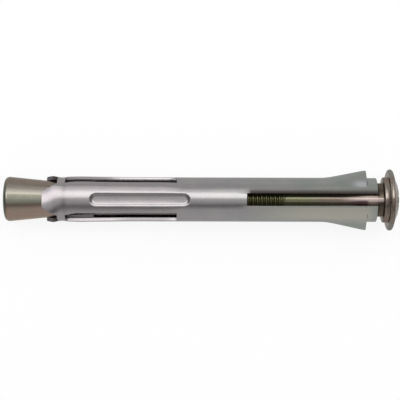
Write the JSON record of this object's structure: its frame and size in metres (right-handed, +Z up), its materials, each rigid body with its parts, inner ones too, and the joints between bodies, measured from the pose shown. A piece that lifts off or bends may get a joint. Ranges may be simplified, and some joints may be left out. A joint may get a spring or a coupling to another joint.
{
  "type": "frame anchor",
  "caption": "Metal frame anchor: a slit, rolled steel sleeve with barbs, a flange-head machine screw through it, and a cone nut that the screw draws in to spread the sleeve's legs.",
  "frame": {"origin": "on the surface that the anchor lies on, at the middle of its length and width", "axes": "+X along the anchor towards the screw's head, +Z up, with the slot at the sleeve's mouth facing up and the two barbs towards +Y and -Y"},
  "size_m": [0.0885, 0.0138, 0.0139],
  "materials": {
    "zinc_plated_sheet": "bright zinc plating on rolled sheet steel, satin with soft drawing marks",
    "yellow_zinc_screw": "yellow passivated zinc plating on a cold-formed screw, glossy",
    "yellow_zinc_nut": "yellow passivated zinc plating on a smooth cone, satin"
  },
  "bodies": {
    "sleeve": {"expansion_sleeve": "zinc_plated_sheet"},
    "screw": {"anchor_screw": "yellow_zinc_screw"},
    "nut": {"cone_nut": "yellow_zinc_nut"}
  },
  "joints": [
    {"name": "screw_turn", "type": "hinge", "parent": "sleeve", "child": "screw", "pos_m": [0, 0, 0.00695], "axis": [-1, 0, 0], "range_deg": [-2160, 120]},
    {"name": "nut_draw", "type": "slide", "parent": "sleeve", "child": "nut", "axis": [1, 0, 0], "range_m": [-0.0061, 0.0004]}
  ],
  "couplings": [
    {"joint": "nut_draw", "follows": "screw_turn", "m_per_rad": 0.00015915}
  ]
}
